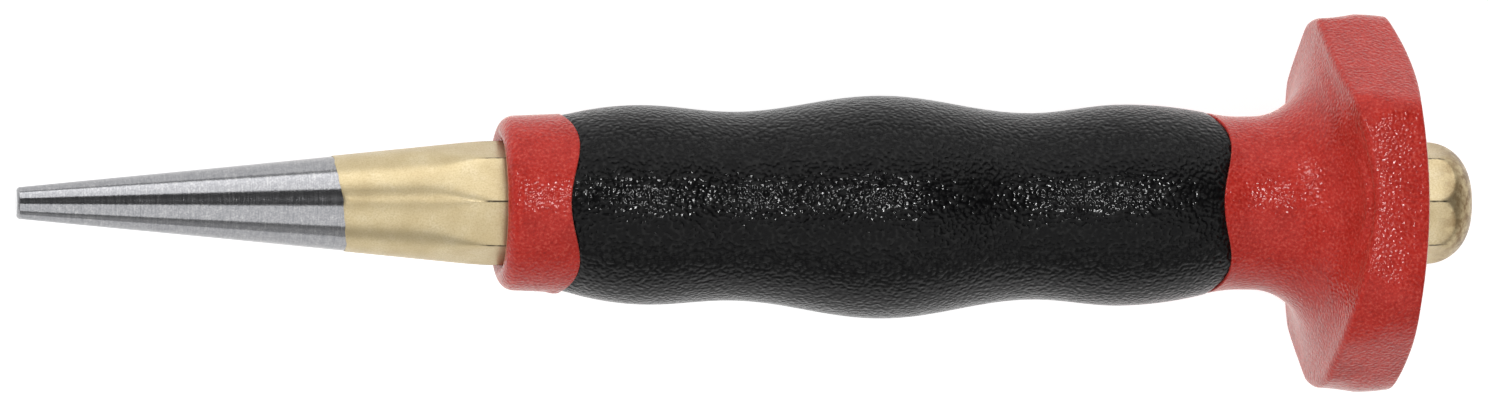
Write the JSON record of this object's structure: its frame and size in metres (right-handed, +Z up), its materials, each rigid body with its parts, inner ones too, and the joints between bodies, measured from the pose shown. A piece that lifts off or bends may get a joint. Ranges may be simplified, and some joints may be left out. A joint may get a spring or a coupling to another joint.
{
  "type": "drift punch",
  "caption": "Tapered drift punch with an octagonal shank, a soft ergonomic grip and a wide anti-roll hand guard.",
  "frame": {"origin": "centre of the working tip's flat end face", "axes": "+X along the tool axis from the working tip to the struck head; +Z up, through the middle of one flat of the six-sided guard; +Y completes the right-handed frame, away from the finger side of the grip"},
  "size_m": [0.15, 0.0388, 0.0342],
  "materials": {
    "polished_steel": "ground and polished",
    "gold_lacquer": "satin metallic lacquer",
    "red_plastic": "fine moulded grain",
    "black_soft_plastic": "pebbled moulded grain"
  },
  "bodies": {
    "root": {"punch_bar": "polished_steel", "lacquer_coat": "gold_lacquer", "guard_sleeve": "red_plastic", "soft_grip": "black_soft_plastic"}
  },
  "joints": []
}
